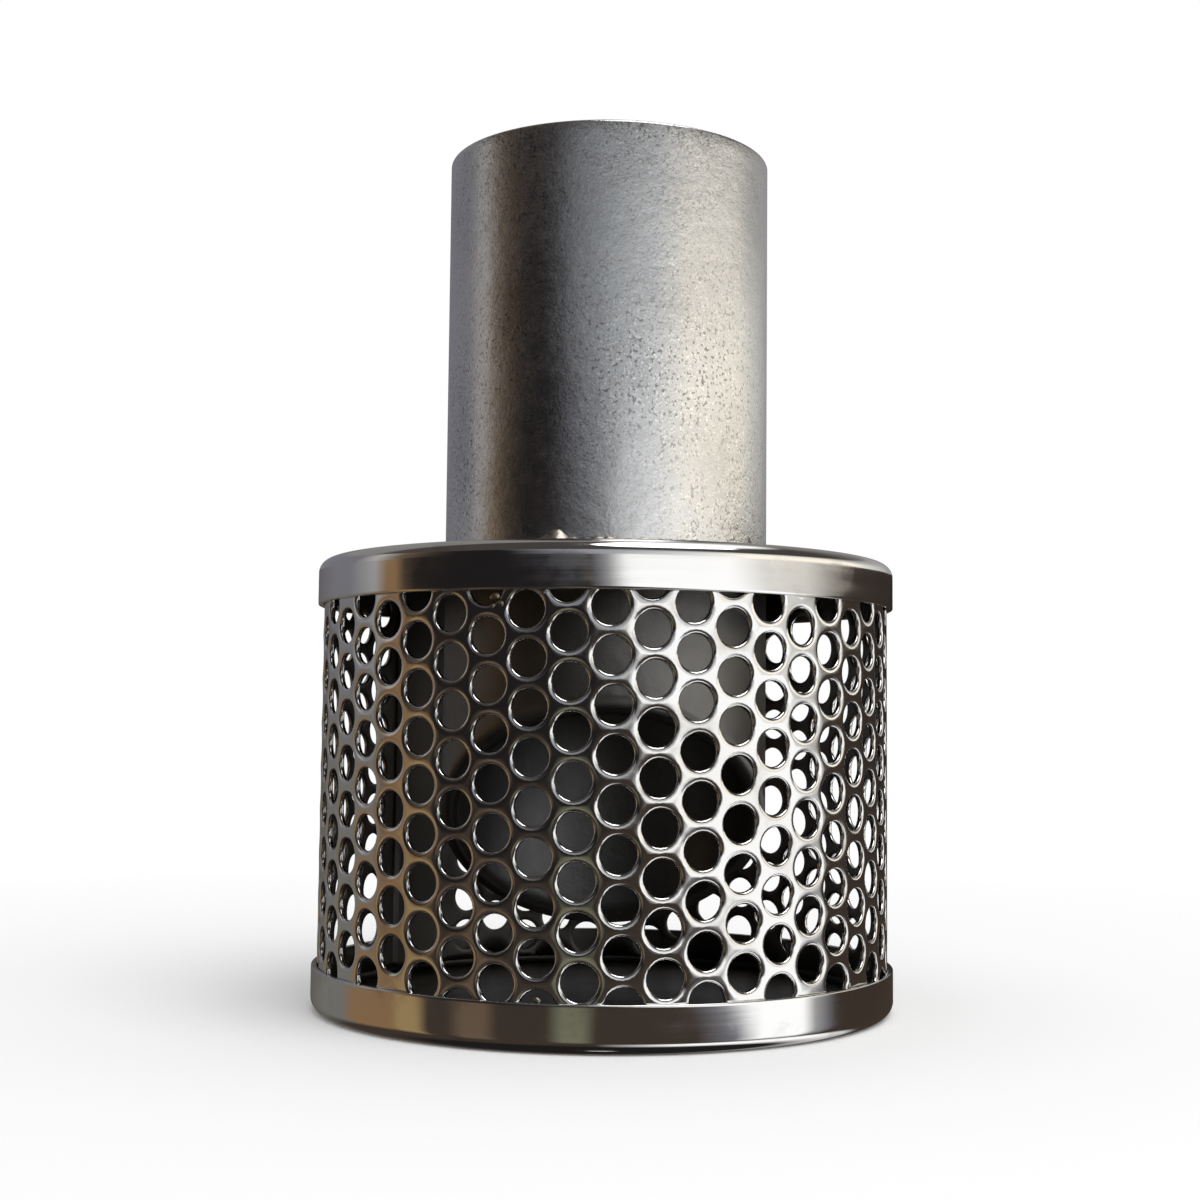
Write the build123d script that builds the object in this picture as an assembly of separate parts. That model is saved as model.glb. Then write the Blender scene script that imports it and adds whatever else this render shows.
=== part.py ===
from build123d import *
import math
import os

# Pipe strainer: a perforated can, closed by two pressed caps, on the end of a pipe shank.
# Millimetres. The origin is the centre of the underside, +Z is up and the front is -Y.
# Azimuths are degrees about Z, zero at the front and growing towards +X.

# Can
can_height = 81.5
screen_diameter = 104.8
sheet_thickness = 1.0

# Pressed end caps that close over the ends of the screen
cap_thickness = 1.0
cap_corner_radius = 2.4
cap_to_screen_clearance = 0.05
top_skirt_height = 8.3
bottom_skirt_height = 8.0

# Shank, a pipe that goes through the top cap
pipe_diameter = 60.3
pipe_wall = 2.9
pipe_projection = 76.0
pipe_rim_radius = 0.5
pipe_to_cap_clearance = 0.1

# Lower end of the shank, cut slantwise with its short side at the front
inlet_front_height = 55.5
inlet_bevel_angle = 36.0

# Weld round the shank, with a lump where each run of it starts
weld_leg = 2.6
weld_lump_radius = 2.2
weld_start_azimuths = (-17.0, 58.0)

# Perforation, round holes in a 60 degree pattern that runs a little out of square
hole_diameter = 6.1
hole_pitch = 7.91
pattern_turn = 2.4
pattern_azimuth = 1.6
pattern_height = 54.9
hole_end_margin = 0.4

# Lap seam of the rolled sheet, with a plain margin on both layers
seam_azimuth = -126.0
lap_length = 13.0
hole_to_lap_margin = 0.8
seam_groove_width = 0.8
seam_groove_depth = 0.5

# Spot welds along the lap
spot_weld_count = 4
spot_weld_diameter = 4.0
spot_weld_depth = 0.2

# Sizes that follow from the ones above
screen_radius = screen_diameter / 2
screen_inner_radius = screen_radius - sheet_thickness
skirt_inner_radius = screen_radius + cap_to_screen_clearance
skirt_outer_radius = skirt_inner_radius + cap_thickness
cap_inner_corner = cap_corner_radius - cap_thickness
screen_bottom = cap_thickness + cap_inner_corner
screen_top = can_height - cap_thickness - cap_inner_corner
screen_height = screen_top - screen_bottom
pipe_radius = pipe_diameter / 2
bore_radius = pipe_radius - pipe_wall
cap_bore_radius = pipe_radius + pipe_to_cap_clearance
pipe_top = can_height + pipe_projection
inlet_back_height = inlet_front_height - pipe_diameter * math.tan(math.radians(inlet_bevel_angle))
pipe_length = pipe_top - inlet_back_height
hole_radius = hole_diameter / 2
lap_angle = math.degrees(lap_length / screen_radius)
groove_angle = math.degrees(seam_groove_width / screen_radius)

UP = (Align.CENTER, Align.CENTER, Align.MIN)


def pan(skirt_height):
    """Pressed cap with its flat on z = 0 and its skirt upwards."""
    with BuildPart() as cap:
        Cylinder(skirt_outer_radius, skirt_height, align=UP)
        fillet(cap.edges().sort_by(Axis.Z)[0], cap_corner_radius)
        with BuildPart(mode=Mode.SUBTRACT):
            with Locations((0, 0, cap_thickness)):
                recess = Cylinder(skirt_inner_radius, skirt_height, align=UP)
            fillet(recess.edges().sort_by(Axis.Z)[0], cap_inner_corner)
    return cap.part


def bottom_cap():
    """Closed pan under the can."""
    return pan(bottom_skirt_height)


def top_cap():
    """Pan turned over on the can, with a hole for the shank."""
    opening = Cylinder(cap_bore_radius, 3 * cap_thickness)
    pressed = pan(top_skirt_height) - opening
    return Pos(0, 0, can_height) * Rot(180, 0, 0) * pressed


def shank_pipe():
    """Pipe through the top cap, with its lower end cut slantwise."""
    slope = math.radians(inlet_bevel_angle)
    slant = Plane(
        origin=(0, 0, (inlet_front_height + inlet_back_height) / 2),
        x_dir=(1, 0, 0),
        z_dir=(0, math.sin(slope), math.cos(slope)),
    )
    with BuildPart() as pipe:
        with Locations((0, 0, inlet_back_height)):
            Cylinder(pipe_radius, pipe_length, align=UP)
            Cylinder(bore_radius, pipe_length, align=UP, mode=Mode.SUBTRACT)
        rims = pipe.edges().filter_by_position(Axis.Z, pipe_top - 0.01, pipe_top + 0.01)
        fillet(rims, pipe_rim_radius)
        split(bisect_by=slant, keep=Keep.TOP)
    return pipe.part


def weld_bead():
    """Fillet weld between the shank and the top cap."""
    toe = (pipe_radius + weld_leg, can_height)
    crown = (pipe_radius, can_height + weld_leg)
    belly = (pipe_radius + 0.55 * weld_leg, can_height + 0.55 * weld_leg)
    with BuildPart() as bead:
        with BuildSketch(Plane.XZ):
            with BuildLine():
                Line(crown, (pipe_radius, can_height))
                Line((pipe_radius, can_height), toe)
                ThreePointArc(toe, belly, crown)
            make_face()
        revolve(axis=Axis.Z)
        for azimuth in weld_start_azimuths:
            with Locations(side_plane(azimuth, pipe_radius + 0.4 * weld_leg, can_height + 0.7 * weld_leg)):
                Sphere(weld_lump_radius)
        with Locations((0, 0, can_height)):
            Cylinder(pipe_radius, 4 * weld_leg, align=UP, mode=Mode.SUBTRACT)
            Cylinder(
                2 * pipe_radius,
                4 * weld_leg,
                align=(Align.CENTER, Align.CENTER, Align.MAX),
                mode=Mode.SUBTRACT,
            )
    return bead.part


def side_plane(azimuth, radius, height):
    """Plane at a point round the axis, looking outwards."""
    angle = math.radians(azimuth)
    outwards = Vector(math.sin(angle), -math.cos(angle), 0)
    return Plane(origin=outwards * radius + Vector(0, 0, height), x_dir=(0, 0, 1), z_dir=outwards)


def hole_centres():
    """Azimuth and height of each hole, from the pattern laid on the unrolled sheet."""
    turn = math.radians(pattern_turn)
    lean = math.radians(30.0 + pattern_turn)
    down_step = (hole_pitch * math.sin(turn), -hole_pitch * math.cos(turn))
    side_step = (hole_pitch * math.cos(lean), hole_pitch * math.sin(lean))
    first_arc = math.radians(pattern_azimuth) * screen_radius
    side_margin = hole_radius + hole_to_lap_margin
    arc_start = math.radians(seam_azimuth) * screen_radius + side_margin + seam_groove_width
    arc_end = math.radians(seam_azimuth + 360.0 - lap_angle) * screen_radius - side_margin
    low = screen_bottom + hole_radius + hole_end_margin
    high = screen_top - hole_radius - hole_end_margin
    reach = math.ceil(2 * math.pi * screen_radius / hole_pitch)
    centres = []
    for column in range(-reach, reach + 1):
        for row in range(-reach, reach + 1):
            arc = first_arc + column * side_step[0] + row * down_step[0]
            height = pattern_height + column * side_step[1] + row * down_step[1]
            if arc_start <= arc <= arc_end and low <= height <= high:
                centres.append((math.degrees(arc / screen_radius), height))
    return centres


def arc_face(inner, outer, start_azimuth, sweep):
    """Flat face between two radii, over a sweep from an azimuth."""
    with BuildSketch() as sector:
        with BuildLine():
            inside = CenterArc((0, 0), inner, start_azimuth - 90.0, sweep)
            outside = CenterArc((0, 0), outer, start_azimuth - 90.0, sweep)
            Line(inside @ 0, outside @ 0)
            Line(inside @ 1, outside @ 1)
        make_face()
    return sector.sketch


def screen_sheet():
    """Rolled sheet with its ends lapped, before it has holes."""
    with BuildPart() as sheet:
        with BuildSketch(Plane.XY.offset(screen_bottom)):
            Circle(screen_radius)
            Circle(screen_inner_radius, mode=Mode.SUBTRACT)
            inner_layer = screen_inner_radius - sheet_thickness
            add(arc_face(inner_layer, screen_inner_radius, seam_azimuth - lap_angle, lap_angle + groove_angle))
            groove_bottom = screen_radius - seam_groove_depth
            add(arc_face(groove_bottom, 2 * screen_radius, seam_azimuth, groove_angle), mode=Mode.SUBTRACT)
        extrude(amount=screen_height)
        for number in range(spot_weld_count):
            height = screen_bottom + screen_height * (number + 0.5) / spot_weld_count
            with Locations(side_plane(seam_azimuth - lap_angle / 2, screen_radius - spot_weld_depth, height)):
                Cylinder(spot_weld_diameter / 2, sheet_thickness, align=UP, mode=Mode.SUBTRACT)
    return sheet.part


def screen():
    """Perforated screen of the can."""
    drills = []
    for azimuth, height in hole_centres():
        place = side_plane(azimuth, screen_radius - sheet_thickness / 2, height)
        drills.append(place.location * Cylinder(hole_radius, 4 * sheet_thickness))
    return screen_sheet() - drills


pieces = {
    "shank_pipe": shank_pipe(),
    "weld_bead": weld_bead(),
    "top_cap": top_cap(),
    "screen": screen(),
    "bottom_cap": bottom_cap(),
}

os.makedirs("parts", exist_ok=True)
for name, piece in pieces.items():
    export_step(piece, f"parts/{name}.step")
    print(name, round(piece.volume, 1))
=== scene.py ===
import math

import bmesh
import bpy
import numpy as np
from mathutils import Matrix, Vector
from mathutils.geometry import delaunay_2d_cdt


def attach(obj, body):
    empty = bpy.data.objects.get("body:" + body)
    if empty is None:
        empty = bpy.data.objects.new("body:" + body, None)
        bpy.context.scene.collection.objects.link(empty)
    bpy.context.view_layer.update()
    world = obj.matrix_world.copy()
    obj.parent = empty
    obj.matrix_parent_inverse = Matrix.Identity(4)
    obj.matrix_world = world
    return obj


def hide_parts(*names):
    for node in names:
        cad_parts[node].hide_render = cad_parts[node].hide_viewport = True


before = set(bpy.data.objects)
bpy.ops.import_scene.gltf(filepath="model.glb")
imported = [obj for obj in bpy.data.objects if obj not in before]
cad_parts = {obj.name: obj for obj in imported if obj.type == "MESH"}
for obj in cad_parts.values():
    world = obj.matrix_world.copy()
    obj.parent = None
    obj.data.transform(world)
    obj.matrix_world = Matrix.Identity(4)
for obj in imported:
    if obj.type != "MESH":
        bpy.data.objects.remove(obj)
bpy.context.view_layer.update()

# Sizes are millimetres, as in the part's source, until make_piece turns them into metres.
# Azimuths are zero at the front, -Y, and grow towards +X.
MM = 0.001

CAN_HEIGHT = 81.5
SCREEN_RADIUS = 52.4
SHEET = 1.0
SCREEN_BOTTOM = 2.4
SCREEN_TOP = 79.1
CAP_CORNER = 2.4
CAP_SHEET = 1.0
SKIRT_INNER = 52.45
SKIRT_OUTER = 53.45
TOP_SKIRT = 8.3
BOTTOM_SKIRT = 8.0
PIPE_RADIUS = 30.15
BORE_RADIUS = 27.25
CAP_BORE = 30.25
PIPE_TOP = 157.5
RIM_RADIUS = 0.5
INLET_FRONT = 55.5
INLET_SLOPE = math.tan(math.radians(36.0))
WELD_LEG = 2.6
WELD_STARTS = (-17.0, 58.0)

HOLE_RADIUS = 3.05
HOLE_PITCH = 7.91
PATTERN_TURN = math.radians(2.4)
PATTERN_AZIMUTH = 1.6
PATTERN_HEIGHT = 54.9
HOLE_END_MARGIN = 0.4
SEAM_AZIMUTH = -126.0
LAP_LENGTH = 13.0
HOLE_TO_LAP = 0.8
GROOVE_WIDTH = 0.8
GROOVE_DEPTH = 0.5
SPOT_COUNT = 4
SPOT_RADIUS = 2.0
SPOT_DEPTH = 0.2


# Mesh making

def make_piece(name, verts, faces, material, slot, nodes=(), merge=0.002):
    """Mesh piece from millimetre points, which rides on the body and stands for CAD nodes.

    Points nearer to each other than merge become one.
    """
    mesh = bpy.data.meshes.new(name)
    mesh.from_pydata((np.asarray(verts, float) * MM).tolist(), [], faces)
    made = bmesh.new()
    made.from_mesh(mesh)
    bmesh.ops.remove_doubles(made, verts=made.verts, dist=merge * MM)
    bmesh.ops.dissolve_degenerate(made, edges=made.edges, dist=0.2 * merge * MM)
    bmesh.ops.recalc_face_normals(made, faces=made.faces)
    made.to_mesh(mesh)
    made.free()
    mesh.shade_smooth()
    mesh.materials.append(material)
    piece = bpy.data.objects.new(name, mesh)
    bpy.context.scene.collection.objects.link(piece)
    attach(piece, "root")
    if nodes:
        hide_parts(*nodes)
    return piece


def arc_points(centre, radius, start, end, count):
    """Points of an arc in a profile, angles in degrees, 0 outwards and 90 up."""
    turns = np.radians(np.linspace(start, end, count))
    return [(centre[0] + radius * math.cos(t), centre[1] + radius * math.sin(t)) for t in turns]


def lathe(profile, segments, shape=None):
    """Points and faces of a closed (radius, height) profile turned round Z."""
    profile = np.asarray(profile, float)
    turns = np.linspace(0, 2 * math.pi, segments, endpoint=False)
    radius, turn = np.meshgrid(profile[:, 0], turns)
    height, _ = np.meshgrid(profile[:, 1], turns)
    if shape:
        radius, height = shape(radius, turn, height)
    verts = np.stack([radius * np.sin(turn), -radius * np.cos(turn), height], -1).reshape(-1, 3)
    count = len(profile)
    faces = []
    for i in range(segments):
        here, there = i * count, (i + 1) % segments * count
        for j in range(count):
            k = (j + 1) % count
            if profile[j, 0] > 0 or profile[k, 0] > 0:
                faces.append((here + j, there + j, there + k, here + k))
    return verts, faces


def waves(turn, seed, amplitude, orders=(2, 3, 5, 7, 11)):
    """Slow unevenness round the axis, in millimetres."""
    phases = np.random.default_rng(seed).uniform(0, 2 * math.pi, len(orders))
    return amplitude * sum(np.sin(n * turn + p) / n for n, p in zip(orders, phases))


# Materials

class Nodes:
    """Node tree of one material, with short calls for the nodes that the materials share."""

    def __init__(self, name):
        self.material = bpy.data.materials.new(name)
        self.material.use_nodes = True
        self.tree = self.material.node_tree
        self.shader = self.tree.nodes["Principled BSDF"]
        self.place = self.tree.nodes.new("ShaderNodeTexCoord").outputs["Object"]

    def put(self, socket, value):
        """Links a socket to another one, or sets it to a plain value."""
        if isinstance(value, bpy.types.NodeSocket):
            self.tree.links.new(value, socket)
        else:
            socket.default_value = value

    def noise(self, scale, stretch=(1, 1, 1), detail=3.0, rough=0.5):
        """Noise in the object's own metres, about 0 to 1."""
        mapping = self.tree.nodes.new("ShaderNodeMapping")
        mapping.inputs["Scale"].default_value = stretch
        self.put(mapping.inputs["Vector"], self.place)
        node = self.tree.nodes.new("ShaderNodeTexNoise")
        self.put(node.inputs["Vector"], mapping.outputs["Vector"])
        node.inputs["Scale"].default_value = scale
        node.inputs["Detail"].default_value = detail
        node.inputs["Roughness"].default_value = rough
        return node.outputs["Fac"]

    def ramp(self, value, low, high, start=0.0, end=1.0):
        """Start below low, end above high, and a straight blend between them."""
        node = self.tree.nodes.new("ShaderNodeMapRange")
        self.put(node.inputs["Value"], value)
        for key, number in (("From Min", low), ("From Max", high), ("To Min", start), ("To Max", end)):
            node.inputs[key].default_value = number
        return node.outputs["Result"]

    def mix(self, factor, first, second):
        """Blend of two colours."""
        node = self.tree.nodes.new("ShaderNodeMix")
        node.data_type = "RGBA"
        self.put(node.inputs["Factor"], factor)
        self.put(node.inputs["A"], first)
        self.put(node.inputs["B"], second)
        return node.outputs["Result"]

    def combine(self, first, second, operation="ADD"):
        """Sum of two values, or another operation on them."""
        node = self.tree.nodes.new("ShaderNodeMath")
        node.operation = operation
        self.put(node.inputs[0], first)
        self.put(node.inputs[1], second)
        return node.outputs["Value"]

    def inside(self, radius, low, high):
        """1 nearer to the axis than a radius and between two heights, in millimetres, else 0."""
        flat = self.tree.nodes.new("ShaderNodeVectorMath")
        flat.operation = "MULTIPLY"
        flat.inputs[1].default_value = (1, 1, 0)
        self.put(flat.inputs[0], self.place)
        length = self.tree.nodes.new("ShaderNodeVectorMath")
        length.operation = "LENGTH"
        self.put(length.inputs[0], flat.outputs["Vector"])
        axes = self.tree.nodes.new("ShaderNodeSeparateXYZ")
        self.put(axes.inputs["Vector"], self.place)
        near = self.combine(length.outputs["Value"], radius * MM, "LESS_THAN")
        above = self.combine(axes.outputs["Z"], low * MM, "GREATER_THAN")
        below = self.combine(axes.outputs["Z"], high * MM, "LESS_THAN")
        return self.combine(near, self.combine(above, below, "MULTIPLY"), "MULTIPLY")

    def bump(self, height, distance, normal=None):
        """Normal for relief of a depth in millimetres, laid over another normal."""
        node = self.tree.nodes.new("ShaderNodeBump")
        node.inputs["Distance"].default_value = distance * MM
        node.inputs["Strength"].default_value = 1.0
        self.put(node.inputs["Height"], height)
        if normal is not None:
            self.put(node.inputs["Normal"], normal)
        return node.outputs["Normal"]

    def metal(self, colour, roughness, normal):
        """Bare metal of this colour, roughness and relief."""
        self.put(self.shader.inputs["Base Color"], colour)
        self.put(self.shader.inputs["Roughness"], roughness)
        self.put(self.shader.inputs["Metallic"], 1.0)
        self.put(self.shader.inputs["Normal"], normal)
        return self.material


def grey(value, warm=0.0):
    """Colour of a grey, a little warmer or colder."""
    return (value * (1 + warm), value, value * (1 - warm), 1.0)


def galvanised():
    """Zinc coated pipe, with light and dark specks in patches, and cloudy tones, and painted shade that
    darkens it inside the can and inside the pipe.
    """
    n = Nodes("galvanised_pipe")
    clouds = n.noise(48, detail=4.0)
    patches = n.ramp(n.noise(30, detail=3.0), 0.42, 0.6, 0.25, 1.0)
    light_specks = n.noise(2300, detail=1.0)
    dark_specks = n.noise(1700, stretch=(1, 1, 0.9), detail=1.5)
    relief = n.noise(420, detail=3.0, rough=0.6)
    colour = n.mix(n.ramp(clouds, 0.35, 0.65), grey(0.54), grey(0.66))
    lights = n.combine(n.ramp(light_specks, 0.58, 0.66, 0.0, 0.7), patches, "MULTIPLY")
    colour = n.mix(lights, colour, grey(0.92, 0.01))
    darks = n.combine(n.ramp(dark_specks, 0.57, 0.67, 0.0, 0.85), patches, "MULTIPLY")
    colour = n.mix(darks, colour, grey(0.2, 0.05))
    # Painted shade: the pipe's face inside the can and the inside of the pipe get darker colours, standing
    # in for the shade there.
    inner = n.inside(PIPE_RADIUS + 0.85, 0, CAN_HEIGHT - 0.5)
    bore = n.inside(BORE_RADIUS + 0.75, 0, PIPE_TOP - 1)
    colour = n.mix(inner, colour, grey(0.3, 0.03))
    colour = n.mix(bore, colour, grey(0.2))
    hidden = n.combine(inner, bore, "MAXIMUM")
    rough = n.combine(n.ramp(clouds, 0.3, 0.7, 0.2, 0.28), n.ramp(relief, 0.3, 0.7, -0.03, 0.05))
    rough = n.combine(rough, n.combine(hidden, 0.18, "MULTIPLY"))
    normal = n.bump(light_specks, 0.02)
    normal = n.bump(relief, 0.07, normal=normal)
    normal = n.bump(clouds, 0.25, normal=normal)
    return n.metal(colour, rough, normal)


def polished(name, base, brush, seed, shade_radius):
    """Polished sheet steel, with fine lines along the polish, smudges, stains and slight dents, and painted
    shade that darkens its faces inside the can.
    """
    n = Nodes(name)
    lines = n.noise(60, stretch=brush, detail=4.0, rough=0.7)
    smudges = n.noise(85 + seed, detail=4.0, rough=0.6)
    stains = n.noise(22 + seed, detail=3.0)
    dents = n.noise(45 + seed, detail=1.0)
    colour = n.mix(n.ramp(smudges, 0.55, 0.72, 0.0, 0.5), base, grey(0.34, 0.05))
    colour = n.mix(n.ramp(stains, 0.55, 0.8, 0.0, 0.4), colour, (0.52, 0.45, 0.33, 1.0))
    # Painted shade: faces inside the can get a near-black colour, standing in for the shade there.
    inner = n.inside(shade_radius, 0.7, CAN_HEIGHT - 0.6)
    colour = n.mix(inner, colour, grey(0.13, 0.05))
    rough = n.combine(n.ramp(smudges, 0.5, 0.75, 0.06, 0.2), n.ramp(lines, 0.3, 0.7, -0.01, 0.05))
    rough = n.combine(rough, n.combine(inner, 0.3, "MULTIPLY"))
    normal = n.bump(lines, 0.004)
    normal = n.bump(dents, 0.1, normal=normal)
    return n.metal(colour, rough, normal)


def weld_metal():
    """Weld metal, dull and mottled with heat colours."""
    n = Nodes("weld_metal")
    lumps = n.noise(420, detail=3.0)
    heat = n.noise(120, detail=2.0)
    colour = n.mix(n.ramp(heat, 0.35, 0.65), grey(0.3, 0.05), (0.42, 0.36, 0.28, 1.0))
    colour = n.mix(n.ramp(lumps, 0.55, 0.7), colour, grey(0.12, 0.05))
    return n.metal(colour, n.ramp(lumps, 0.3, 0.7, 0.25, 0.5), n.bump(lumps, 0.2))


UPRIGHT_LINES = (1, 1, 0.1)
LINES_AROUND = (0.3, 0.3, 12)

PIPE_METAL = galvanised()
SCREEN_STEEL = polished("screen_steel", grey(0.66, 0.01), UPRIGHT_LINES, 0, 51.6)
CAP_STEEL = polished("cap_steel", grey(0.68, 0.01), LINES_AROUND, 7, 52.5)
WELD_METAL = weld_metal()


# Perforated screen

def hole_centres():
    """(arc, height) of each hole, with the same pattern and margins as the part's source."""
    lean = math.radians(30.0) + PATTERN_TURN
    down = np.array([math.sin(PATTERN_TURN), -math.cos(PATTERN_TURN)]) * HOLE_PITCH
    side = np.array([math.cos(lean), math.sin(lean)]) * HOLE_PITCH
    first = np.array([math.radians(PATTERN_AZIMUTH) * SCREEN_RADIUS, PATTERN_HEIGHT])
    margin = HOLE_RADIUS + HOLE_TO_LAP
    start = math.radians(SEAM_AZIMUTH) * SCREEN_RADIUS
    end = start + 2 * math.pi * SCREEN_RADIUS - LAP_LENGTH
    reach = math.ceil(2 * math.pi * SCREEN_RADIUS / HOLE_PITCH)
    found = []
    for column in range(-reach, reach + 1):
        for row in range(-reach, reach + 1):
            arc, height = first + column * side + row * down
            inside = start + margin + GROOVE_WIDTH <= arc <= end - margin
            low = SCREEN_BOTTOM + HOLE_RADIUS + HOLE_END_MARGIN
            high = SCREEN_TOP - HOLE_RADIUS - HOLE_END_MARGIN
            if inside and low <= height <= high:
                found.append((arc, height))
    return np.array(found)


HOLE_SIDES = 24
MOUTH = 0.8             # how far the rolled-over mouth of a hole reaches past the hole
MOUTH_DEPTH = 0.42
EXIT = 0.12             # small chamfer where a hole leaves the sheet inside
EDGE_ROWS = 66          # rows of points up the seam
PLAIN_STEP = 1.2        # distance between the points on plain sheet
SPOT_RINGS = (-0.9, -0.2, 0.05, 0.2, 0.38, 0.6)
SEAM_ARC = math.radians(SEAM_AZIMUTH) * SCREEN_RADIUS
AROUND = 2 * math.pi * SCREEN_RADIUS
SPOT_HEIGHTS = [
    SCREEN_BOTTOM + (SCREEN_TOP - SCREEN_BOTTOM) * (number + 0.5) / SPOT_COUNT
    for number in range(SPOT_COUNT)
]


def sheet_depths(points):
    """Depth of the outer and the inner face below the screen's radius, at (arc, height) points."""
    arc = (points[:, 0] - SEAM_ARC) % AROUND
    outer = np.where((arc > 0.02) & (arc < GROOVE_WIDTH - 0.02), GROOVE_DEPTH, 0.0)
    for height in SPOT_HEIGHTS:
        away = np.hypot(arc - AROUND + LAP_LENGTH / 2, points[:, 1] - height)
        outer = np.maximum(outer, SPOT_DEPTH * np.clip((SPOT_RADIUS + 0.35 - away) / 0.5, 0, 1))
    lapped = (arc > AROUND - LAP_LENGTH) | (arc < GROOVE_WIDTH + 0.02)
    return outer, np.where(lapped, 2 * SHEET, SHEET)


def on_cylinder(points, depth):
    """Points in space for (arc, height) points at a depth below the screen's radius."""
    turn = points[:, 0] / SCREEN_RADIUS
    radius = SCREEN_RADIUS - depth
    return np.stack([radius * np.sin(turn), -radius * np.cos(turn), points[:, 1]], -1)


def within_sheet(points):
    """Keeps (arc, height) points just inside the sheet's upper and lower edge."""
    return np.stack([points[:, 0], np.clip(points[:, 1], SCREEN_BOTTOM + 0.04, SCREEN_TOP - 0.04)], -1)


def sheet_points(centres, circle):
    """(arc, height) points of the unrolled sheet, and where the mouths' loops start among them."""
    cut = SEAM_ARC + 0.5 * GROOVE_WIDTH
    groove_steps = [-0.5, -0.12, 0.0, 0.03, GROOVE_WIDTH - 0.03, GROOVE_WIDTH, GROOVE_WIDTH + 0.12]
    groove = SEAM_ARC + np.array(groove_steps)
    lap_edge = SEAM_ARC - LAP_LENGTH + np.array([-0.1, -0.01, 0.01, 0.1])
    columns = np.concatenate([groove[3:4], groove[:3], lap_edge]) + AROUND
    columns = np.concatenate([groove[4:], [groove[-1] + 0.5], columns])
    plain_arcs = np.arange(groove[-1] + 1.5, lap_edge[0] + AROUND - 0.6, PLAIN_STEP)
    lap_arcs = np.arange(lap_edge[-1] + 0.8, SEAM_ARC - 0.6, PLAIN_STEP) + AROUND
    edge_arcs = np.unique(np.concatenate([[cut, cut + AROUND], columns, plain_arcs, lap_arcs]).round(5))
    points = [
        np.stack([edge_arcs, np.full(len(edge_arcs), level)], -1)
        for level in (SCREEN_BOTTOM, SCREEN_TOP)
    ]
    rows = np.linspace(SCREEN_BOTTOM, SCREEN_TOP, EDGE_ROWS)[1:-1]
    upright = np.concatenate([[cut, cut + AROUND], columns])
    points += [np.stack([np.full(len(rows), arc), rows], -1) for arc in upright]
    loop_start = sum(len(p) for p in points)
    rings = centres[:, None] + circle[None] * (HOLE_RADIUS + MOUTH)
    points.append(within_sheet(rings.reshape(-1, 2)))
    # Corners of the cells between the holes, the plain lap, and rings round the spot welds
    loose = [(centres[:, None] + circle[None, ::4] * HOLE_PITCH / math.sqrt(3)).reshape(-1, 2)]
    loose.append(np.stack(np.meshgrid(lap_arcs, rows[::2]), -1).reshape(-1, 2))
    loose.append(np.stack(np.meshgrid(plain_arcs[:3], rows[::2]), -1).reshape(-1, 2))
    for height in SPOT_HEIGHTS:
        middle = np.array([SEAM_ARC + AROUND - LAP_LENGTH / 2, height])
        loose += [middle + circle * (SPOT_RADIUS + away) for away in SPOT_RINGS]
    loose = np.concatenate(loose)
    clear = (loose[:, 1] > SCREEN_BOTTOM + 0.15) & (loose[:, 1] < SCREEN_TOP - 0.15)
    points.append(loose[clear])
    return np.concatenate(points), loop_start


def sheet_faces(centres, circle):
    """(arc, height) points and triangles of the unrolled sheet, left open at each hole's mouth."""
    points, loop_start = sheet_points(centres, circle)
    edges = []
    for number in range(len(centres)):
        first = loop_start + number * HOLE_SIDES
        edges += [(first + k, first + (k + 1) % HOLE_SIDES) for k in range(HOLE_SIDES)]
    flat, _, triangles, *_ = delaunay_2d_cdt([Vector(p) for p in points], edges, [], 0, 1e-4)
    flat = np.array([tuple(p) for p in flat])
    triangles = np.array([t for t in triangles if len(t) == 3])
    middles = flat[triangles].mean(1)
    solid = np.ones(len(middles), bool)
    for centre in centres:
        near = np.abs(middles[:, 0] - centre[0]) < HOLE_RADIUS + 1
        solid[near] &= np.hypot(*(middles[near] - centre).T) > (HOLE_RADIUS + MOUTH) * 0.985
    return flat, triangles[solid]


def hole_section():
    """(radius, depth) of a hole's wall, from the rolled-over mouth outside to the sharper edge inside."""
    mouth = [
        (HOLE_RADIUS + MOUTH * (1 - math.sin(turn)), MOUTH_DEPTH * (1 - math.cos(turn)))
        for turn in np.radians([0, 24, 45, 66, 90])
    ]
    return mouth + [(HOLE_RADIUS, SHEET - EXIT), (HOLE_RADIUS + EXIT, SHEET), (HOLE_RADIUS + MOUTH, SHEET)]


def screen_mesh():
    """Points and faces of the rolled sheet with its rounded holes, lap, groove and spot welds."""
    centres = hole_centres()
    turns = PATTERN_TURN + np.linspace(0, 2 * math.pi, HOLE_SIDES, endpoint=False)
    circle = np.stack([np.cos(turns), np.sin(turns)], -1)
    flat, triangles = sheet_faces(centres, circle)
    outer, inner = sheet_depths(flat)
    verts = [on_cylinder(flat, outer), on_cylinder(flat, inner)]
    count = len(flat)
    faces = triangles.tolist() + (triangles[:, ::-1] + count).tolist()
    for level in (SCREEN_BOTTOM, SCREEN_TOP):
        rim = np.where(np.abs(flat[:, 1] - level) < 1e-3)[0]
        rim = rim[np.argsort(flat[rim, 0])]
        faces += [(a, b, b + count, a + count) for a, b in zip(rim[:-1].tolist(), rim[1:].tolist())]
    section = hole_section()
    base = 2 * count
    for centre in centres:
        for radius, depth in section:
            verts.append(on_cylinder(within_sheet(centre + circle * radius), depth))
        for level in range(len(section) - 1):
            here = base + level * HOLE_SIDES
            for k in range(HOLE_SIDES):
                m = (k + 1) % HOLE_SIDES
                faces.append((here + k, here + m, here + HOLE_SIDES + m, here + HOLE_SIDES + k))
        base += len(section) * HOLE_SIDES
    return np.concatenate(verts), faces


make_piece("perforated_screen", *screen_mesh(), SCREEN_STEEL, "screen_steel", ["screen"])


# Pressed caps

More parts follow.
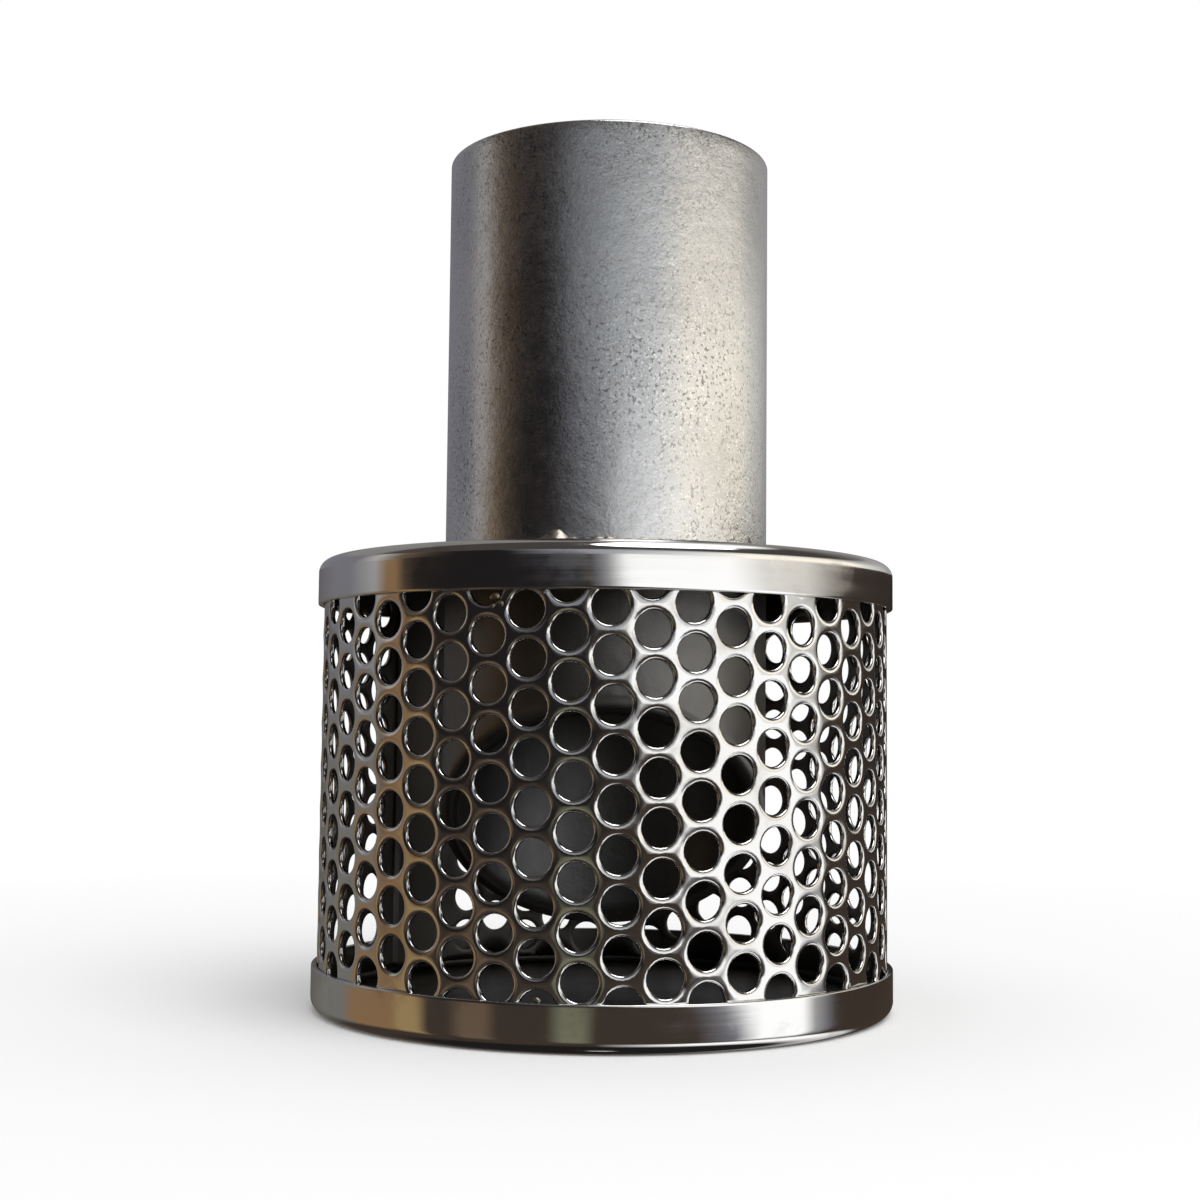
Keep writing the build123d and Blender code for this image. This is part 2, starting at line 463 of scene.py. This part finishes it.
CAP_SEGMENTS = 288
FLAT_RADII = (0.0, 12.0, 24.0, CAP_BORE, 33.0, 40.0, 46.0, 49.0, 50.4)
SKIRT_LIP = 0.22        # rounding of the skirt's cut edge


def pan_profile(skirt):
    """Half section of a pressed cap with its flat on z = 0 and its skirt upwards."""
    corner = SKIRT_OUTER - CAP_CORNER
    inner = CAP_CORNER - CAP_SHEET
    lip = SKIRT_LIP
    outside = [(r, 0.0) for r in FLAT_RADII]
    outside += arc_points((corner, CAP_CORNER), CAP_CORNER, -90, 0, 17)
    wall = [(SKIRT_OUTER, z) for z in np.linspace(CAP_CORNER + 0.4, skirt - lip - 0.3, 6)]
    edge = arc_points((SKIRT_OUTER - lip, skirt - lip), lip, 0, 90, 4)
    edge += arc_points((SKIRT_INNER + lip, skirt - lip), lip, 90, 180, 4)
    inside = [(SKIRT_INNER, z) for z in (skirt - 2.5, CAP_CORNER + 0.4)]
    inside += arc_points((SKIRT_INNER - inner, CAP_CORNER), inner, 0, -90, 8)
    inside += [(r, CAP_SHEET) for r in reversed(FLAT_RADII)]
    return outside + wall + edge + inside


def cap_shape(seed):
    """Shape for lathe that gives a pressed cap's skirt a slight unevenness."""
    def shape(radius, turn, height):
        outwards = np.clip((radius - 40) / 12, 0, 1)
        return radius + outwards * waves(turn, seed, 0.03), height
    return shape


verts, faces = lathe(pan_profile(BOTTOM_SKIRT), CAP_SEGMENTS, cap_shape(3))
make_piece("bottom_pan", verts, faces, CAP_STEEL, "cap_steel", ["bottom_cap"])

ring = [(max(r, CAP_BORE), CAN_HEIGHT - z) for r, z in pan_profile(TOP_SKIRT)]
ring = [p for i, p in enumerate(ring) if i == 0 or p != ring[i - 1]]
verts, faces = lathe(ring, CAP_SEGMENTS, cap_shape(4))
make_piece("top_pan", verts, faces, CAP_STEEL, "cap_steel", ["top_cap"])


# Shank

SHANK_SEGMENTS = 256
SHANK_STEPS = 60


def shank_profile():
    """(radius, height) of the pipe's wall with rounded rims, from height 0, before its foot is cut."""
    rise = PIPE_TOP - RIM_RADIUS
    steps = np.linspace(0, rise, SHANK_STEPS)
    outside = [(PIPE_RADIUS, z) for z in steps]
    rim = arc_points((PIPE_RADIUS - RIM_RADIUS, rise), RIM_RADIUS, 12, 90, 6)
    rim += arc_points((BORE_RADIUS + RIM_RADIUS, rise), RIM_RADIUS, 90, 168, 6)
    return outside + rim + [(BORE_RADIUS, z) for z in steps[::-1]]


def shank_shape(radius, turn, height):
    """Gives the pipe its slanted lower end and its slight unevenness."""
    y = -radius * np.cos(turn)
    foot = INLET_FRONT - (y + PIPE_RADIUS) * INLET_SLOPE
    up = height / PIPE_TOP
    slanted = np.where(height > PIPE_TOP - 1, height, foot + (PIPE_TOP - foot) * up)
    return radius + waves(turn, 5, 0.02), slanted


verts, faces = lathe(shank_profile(), SHANK_SEGMENTS, shank_shape)
make_piece("shank", verts, faces, PIPE_METAL, "shank_pipe", ["shank_pipe"])


# Weld round the shank

WELD_SEGMENTS = 720
WELD_STEPS = 14
WELD_HOLLOW = 0.28      # how far the bead's face sinks below a round one, as a share of its leg


def weld_section():
    """(radius, height) of the bead's hollow face, with its root in the corner."""
    section = [(PIPE_RADIUS, CAN_HEIGHT)]
    for turn in np.linspace(0, math.pi / 2, WELD_STEPS).tolist():
        sink = WELD_HOLLOW * math.sin(2 * turn)
        section.append((
            PIPE_RADIUS + WELD_LEG * (math.cos(turn) - sink),
            CAN_HEIGHT + WELD_LEG * (math.sin(turn) - sink),
        ))
    return section


def weld_shape(radius, turn, height):
    """Ripples of the weld, and the lump where each run starts."""
    away = np.hypot(radius - PIPE_RADIUS, height - CAN_HEIGHT) / WELD_LEG
    ripple = 0.93 + 0.025 * np.sin(turn * 84 + 1.5 * np.sin(5 * turn)) + 0.03 * np.sin(turn * 23 + 2)
    for start in WELD_STARTS:
        gap = (turn - math.radians(start) + math.pi) % (2 * math.pi) - math.pi
        ripple = ripple + 0.6 * np.exp(-(gap * PIPE_RADIUS / 1.9) ** 2)
    scale = np.where(away > 0.05, ripple, 1.0)
    return PIPE_RADIUS + (radius - PIPE_RADIUS) * scale, CAN_HEIGHT + (height - CAN_HEIGHT) * scale


verts, faces = lathe(weld_section(), WELD_SEGMENTS, weld_shape)
make_piece("weld", verts, faces, WELD_METAL, "weld_metal", ["weld_bead"], merge=0.0005)

# Spatter that the welding left on the can: azimuth, height and radius of each bead
SPATTER = (
    (-19.9, 72.2, 0.75), (-18.7, 71.0, 0.5), (-20.4, 70.6, 0.42), (-10.8, 72.9, 0.5), (52.6, 8.3, 0.45),
    (-11.2, 8.4, 0.5), (-118.0, 71.8, 0.6), (141.0, 72.0, 0.55),
)


BEAD_SIDES = 14
BEAD_LEVELS = 9


def spatter_mesh():
    """Points and faces of flattened, uneven beads on the screen."""
    rng = np.random.default_rng(11)
    turns = np.linspace(0, 2 * math.pi, BEAD_SIDES, endpoint=False)
    verts, faces = [], []
    for azimuth, height, radius in SPATTER:
        angle = math.radians(azimuth)
        outwards = np.array([math.sin(angle), -math.cos(angle), 0.0])
        sideways = np.array([math.cos(angle), math.sin(angle), 0.0])
        uneven = 1 + 0.22 * np.sin(2 * turns + rng.uniform(0, 6))
        uneven = uneven + 0.12 * np.sin(3 * turns + rng.uniform(0, 6))
        base = len(verts)
        for lift in np.radians(np.linspace(-20, 90, BEAD_LEVELS)):
            for turn, wide in zip(turns, uneven):
                reach = radius * wide * math.cos(lift)
                point = outwards * (SCREEN_RADIUS + 0.6 * radius * math.sin(lift))
                point = point + sideways * reach * math.cos(turn)
                verts.append(point + np.array([0, 0, height + reach * math.sin(turn)]))
        for level in range(BEAD_LEVELS - 1):
            here = base + BEAD_SIDES * level
            for k in range(BEAD_SIDES):
                m = (k + 1) % BEAD_SIDES
                faces.append((here + k, here + m, here + BEAD_SIDES + m, here + BEAD_SIDES + k))
        faces.append(tuple(base + k for k in reversed(range(BEAD_SIDES))))
    return verts, faces


make_piece("spatter", *spatter_mesh(), WELD_METAL, "weld_metal")


# Floor, light and the panels that the metal mirrors

def stage_mesh(name, verts, faces, material):
    """Mesh, in metres, that belongs to the studio and not to the part."""
    mesh = bpy.data.meshes.new(name)
    mesh.from_pydata(verts, [], faces)
    mesh.materials.append(material)
    thing = bpy.data.objects.new(name, mesh)
    bpy.context.scene.collection.objects.link(thing)
    return thing


def shows_background(tree):
    """1 for the rays that show the background, straight, mirrored or through something, else 0."""
    path = tree.nodes.new("ShaderNodeLightPath")
    seen = path.outputs["Is Camera Ray"]
    for key in ("Is Glossy Ray", "Is Transmission Ray"):
        both = tree.nodes.new("ShaderNodeMath")
        both.operation = "MAXIMUM"
        tree.links.new(seen, both.inputs[0])
        tree.links.new(path.outputs[key], both.inputs[1])
        seen = both.outputs["Value"]
    return seen


FLOOR_RADIUS = 4.0
FLOOR_SIDES = 96
FLOOR_PAINT = (0.95, 0.95, 0.95, 1)
FADE_START = 0.065      # distance from the axis where the floor starts to fade into the background
FADE_END = 0.32
WORLD_LIGHT = 0.75      # strength of the white world as light; as background it is 1, plain white


def floor_material():
    """Pale floor that keeps the object's shadow and fades into the white background."""
    material = bpy.data.materials.new("floor")
    material.use_nodes = True
    tree = material.node_tree
    tree.nodes.clear()
    place = tree.nodes.new("ShaderNodeTexCoord")
    length = tree.nodes.new("ShaderNodeVectorMath")
    length.operation = "LENGTH"
    tree.links.new(place.outputs["Object"], length.inputs[0])
    fade = tree.nodes.new("ShaderNodeMapRange")
    fade.inputs["From Min"].default_value = FADE_START
    fade.inputs["From Max"].default_value = FADE_END
    tree.links.new(length.outputs["Value"], fade.inputs["Value"])
    paint = tree.nodes.new("ShaderNodeBsdfDiffuse")
    paint.inputs["Color"].default_value = FLOOR_PAINT
    glow = tree.nodes.new("ShaderNodeEmission")
    share = tree.nodes.new("ShaderNodeMath")
    share.operation = "MULTIPLY"
    tree.links.new(fade.outputs["Result"], share.inputs[0])
    tree.links.new(shows_background(tree), share.inputs[1])
    mixed = tree.nodes.new("ShaderNodeMixShader")
    tree.links.new(share.outputs["Value"], mixed.inputs["Fac"])
    tree.links.new(paint.outputs["BSDF"], mixed.inputs[1])
    tree.links.new(glow.outputs["Emission"], mixed.inputs[2])
    out = tree.nodes.new("ShaderNodeOutputMaterial")
    tree.links.new(mixed.outputs["Shader"], out.inputs["Surface"])
    return material


turns = np.linspace(0, 2 * math.pi, FLOOR_SIDES, endpoint=False)
floor_verts = [(FLOOR_RADIUS * math.sin(t), -FLOOR_RADIUS * math.cos(t), 0.0) for t in turns]
floor = stage_mesh("floor", floor_verts, [tuple(range(len(turns)))], floor_material())
floor.visible_glossy = False  # the metal mirrors the panels down to its foot, as in the photograph

world = bpy.data.worlds.new("studio")
bpy.context.scene.world = world
world.use_nodes = True
background = world.node_tree.nodes["Background"]
level = world.node_tree.nodes.new("ShaderNodeMapRange")
level.inputs["To Min"].default_value = WORLD_LIGHT
level.inputs["To Max"].default_value = 1.0
world.node_tree.links.new(shows_background(world.node_tree), level.inputs["Value"])
world.node_tree.links.new(level.outputs["Result"], background.inputs["Strength"])
background.inputs["Color"].default_value = (1, 1, 1, 1)


def panel_material():
    """Panel of the studio that glows with the colour of its stops."""
    material = bpy.data.materials.new("studio_panels")
    material.use_nodes = True
    tree = material.node_tree
    tree.nodes.clear()
    paint = tree.nodes.new("ShaderNodeAttribute")
    paint.attribute_name = "paint"
    glow = tree.nodes.new("ShaderNodeEmission")
    tree.links.new(paint.outputs["Color"], glow.inputs["Color"])
    out = tree.nodes.new("ShaderNodeOutputMaterial")
    tree.links.new(glow.outputs["Emission"], out.inputs["Surface"])
    return material


PANELS = panel_material()


BLEND_STEPS = 9         # rows of points from one level of the panels to the next


def panels(name, levels):
    """Ring of panels from (radius, height, stops) levels in metres, seen by mirrored rays alone.

    A stop is an azimuth and a colour, and colours blend between stops and between levels.
    """
    steps = np.linspace(-180, 180, 361)
    around = np.radians(steps)
    verts, paint = [], []
    for (radius, low, first), (end, high, last) in zip(levels[:-1], levels[1:]):
        for share in np.linspace(0, 1, BLEND_STEPS)[(1 if verts else 0):]:
            arcs = [a * (1 - share) + b * share for (a, _), (b, _) in zip(first, last)]
            tints = [np.array(p) * (1 - share) + np.array(q) * share for (_, p), (_, q) in zip(first, last)]
            reach, height = radius + (end - radius) * share, low + (high - low) * share
            verts += [(reach * math.sin(t), -reach * math.cos(t), height) for t in around]
            paint.append(np.stack([np.interp(steps, arcs, [t[c] for t in tints]) for c in range(3)], -1))
    count = len(steps)
    faces = []
    for here in range(0, len(verts) - count, count):
        faces += [(here + i, here + i + 1, here + count + i + 1, here + count + i) for i in range(count - 1)]
    thing = stage_mesh(name, verts, faces, PANELS)
    layer = thing.data.color_attributes.new("paint", "FLOAT_COLOR", "POINT")
    paint = np.concatenate(paint)
    values = np.concatenate([paint, np.ones((len(paint), 1))], 1)
    layer.data.foreach_set("color", values.astype(np.float32).ravel())
    for ray in ("visible_camera", "visible_diffuse", "visible_shadow", "visible_transmission"):
        setattr(thing, ray, False)


PANEL_RADIUS = 0.9

BLACK = (0.018, 0.016, 0.016)
BROWN = (0.06, 0.045, 0.035)
UMBER = (0.17, 0.12, 0.08)
TAN = (0.3, 0.18, 0.09)
GOLD = (0.4, 0.28, 0.13)
OLIVE = (0.22, 0.22, 0.15)
STONE = (0.21, 0.205, 0.19)
SLATE = (0.22, 0.22, 0.25)
GREY = (0.42, 0.42, 0.42)
PALE = (0.95, 0.93, 0.88)
WHITE = (1.45, 1.46, 1.46)
COOL = (0.34, 0.37, 0.4)
WARM = (1.5, 1.4, 1.2)
LEFT_WALL_LOW = (0.55, 0.52, 0.5)
LEFT_WALL_HIGH = (0.6, 0.57, 0.54)
MIDDLE_LOW = (0.46, 0.48, 0.5)
MIDDLE_HIGH = (0.47, 0.5, 0.53)
HAZE_LOW = (0.93, 0.95, 0.96)
HAZE_HIGH = (0.5, 0.53, 0.55)
BLIND = (0.5, 0.48, 0.45)
DARK_CEILING = (0.08, 0.07, 0.065)
BACK_CEILING = (0.3, 0.29, 0.28)


def plain(colour, stops):
    """The same stops, all of one colour."""
    return [(azimuth, colour) for azimuth, _ in stops]


# Round the can: grey wall and warm strip at the left, dark room, window at the right, dark corner.
# The window's left edge leans, so it starts further right near the floor.
FOOT = [
    (-180, BROWN), (-130, STONE), (-116, STONE), (-108, TAN), (-84, TAN), (-80, GOLD), (-72, GOLD),
    (-67, BROWN), (-58, BROWN), (-52, UMBER), (-43, UMBER), (-38, BROWN), (-20, BROWN),
    (-14, OLIVE), (-7, OLIVE), (-2, BROWN), (34, BROWN), (50, SLATE), (61, WHITE), (80, WHITE),
    (86, GREY), (92, SLATE), (98, BROWN), (180, BROWN),
]
WAIST = [
    (-180, BROWN), (-130, STONE), (-116, STONE), (-98, STONE), (-92, UMBER), (-86, TAN), (-78, TAN),
    (-68, BROWN), (-61, BLACK), (-52, BLACK), (-43, BLACK), (-38, BLACK), (-20, BLACK),
    (-14, BLACK), (-7, BLACK), (0, BLACK), (8, BROWN), (15, GREY), (22, WHITE), (80, WHITE),
    (86, PALE), (92, GREY), (95, BROWN), (180, BLACK),
]
SHOULDER = [
    (-180, BROWN), (-130, SLATE), (-116, SLATE), (-98, GREY), (-91, TAN), (-86, TAN), (-81, BROWN),
    (-76, BLACK), (-61, BLACK), (-52, BLACK), (-43, BLACK), (-38, BLACK), (-20, BLACK),
    (-14, BLACK), (-10, BLACK), (-5, BROWN), (-2, SLATE), (1, GREY), (7, WHITE), (46, WHITE),
    (60, PALE), (80, PALE), (104, BROWN), (180, BLACK),
]
SILL = [(azimuth, WHITE if 0 < azimuth < 100 else BROWN) for azimuth, _ in FOOT]
panels("panels_low", [
    (0.1, -2.0, plain(BLACK, FOOT)),
    (PANEL_RADIUS, -1.2, plain(BLACK, FOOT)),
    (PANEL_RADIUS, -0.8, SILL),
    (PANEL_RADIUS, -0.6, SILL),
    (PANEL_RADIUS, -0.5, plain(BROWN, FOOT)),
    (PANEL_RADIUS, -0.3, FOOT),
    (PANEL_RADIUS, -0.14, FOOT),
    (PANEL_RADIUS, 0.035, WAIST),
    (PANEL_RADIUS, 0.155, SHOULDER),
    (PANEL_RADIUS, 0.17, SHOULDER),
])

# Round the shank: the same room, paler and softer, then a dark ceiling with a pale light at the right
PIPE_LOW = [
    (-180, SLATE), (-112, SLATE), (-98, LEFT_WALL_LOW), (-84, UMBER), (-70, BROWN), (-58, BLACK),
    (-36, BLACK), (-18, SLATE), (0, MIDDLE_LOW), (30, HAZE_LOW), (55, WARM), (106, WARM),
    (122, PALE), (150, GREY), (180, SLATE),
]
PIPE_HIGH = [
    (-180, SLATE), (-112, SLATE), (-98, LEFT_WALL_HIGH), (-84, UMBER), (-70, BROWN), (-58, BLACK),
    (-42, BLACK), (-20, COOL), (0, MIDDLE_HIGH), (34, HAZE_HIGH), (58, PALE), (90, PALE),
    (112, BLIND), (150, GREY), (180, SLATE),
]
CEILING = [(azimuth, DARK_CEILING if -110 < azimuth < 120 else BACK_CEILING) for azimuth, _ in PIPE_HIGH]
SKYLIGHT = [(azimuth, WHITE if 0 < azimuth < 120 else tint) for azimuth, tint in CEILING]
panels("panels_high", [
    (PANEL_RADIUS, 0.17, PIPE_LOW),
    (PANEL_RADIUS, 0.28, PIPE_LOW),
    (PANEL_RADIUS, 0.45, PIPE_HIGH),
    (PANEL_RADIUS, 0.52, CEILING),
    (PANEL_RADIUS, 1.2, CEILING),
    (PANEL_RADIUS, 1.5, SKYLIGHT),
    (PANEL_RADIUS, 2.2, SKYLIGHT),
    (0.02, 2.2, SKYLIGHT),
])


# Camera, where the photograph was taken from
LENS_PIXELS = 1785.83
PHOTO_PIXELS = 1200
SENSOR = 36.0           # width in millimetres
EYE = Vector((-0.26, -335.98, 51.626))
PITCH, YAW, ROLL = (math.radians(a) for a in (4.008, -0.128, 0.568))
camera = bpy.data.objects.new("camera", bpy.data.cameras.new("camera"))
bpy.context.scene.collection.objects.link(camera)
bpy.context.scene.camera = camera
camera.data.sensor_width = SENSOR
camera.data.lens = SENSOR * LENS_PIXELS / PHOTO_PIXELS
camera.data.clip_start = 0.01
ahead = Vector((math.sin(YAW) * math.cos(PITCH), math.cos(YAW) * math.cos(PITCH), math.sin(PITCH)))
right = Vector((math.cos(YAW), -math.sin(YAW), 0))
up = right.cross(ahead)
x_axis = math.cos(ROLL) * right + math.sin(ROLL) * up
y_axis = -math.sin(ROLL) * right + math.cos(ROLL) * up
spin = Matrix((x_axis, y_axis, -ahead)).transposed().to_4x4()
camera.matrix_world = Matrix.Translation(EYE * MM) @ spin

# Soft overhead lamp, for the shadow on the floor
lamp = bpy.data.objects.new("lamp", bpy.data.lights.new("lamp", "AREA"))
bpy.context.scene.collection.objects.link(lamp)
lamp.data.shape = "DISK"
lamp.data.size = 0.9
lamp.data.energy = 6.0
lamp.location = (0.35, -0.5, 1.1)
lamp.rotation_euler = (-lamp.location.copy()).to_track_quat("-Z", "Y").to_euler()

bpy.context.scene.view_settings.view_transform = "Standard"
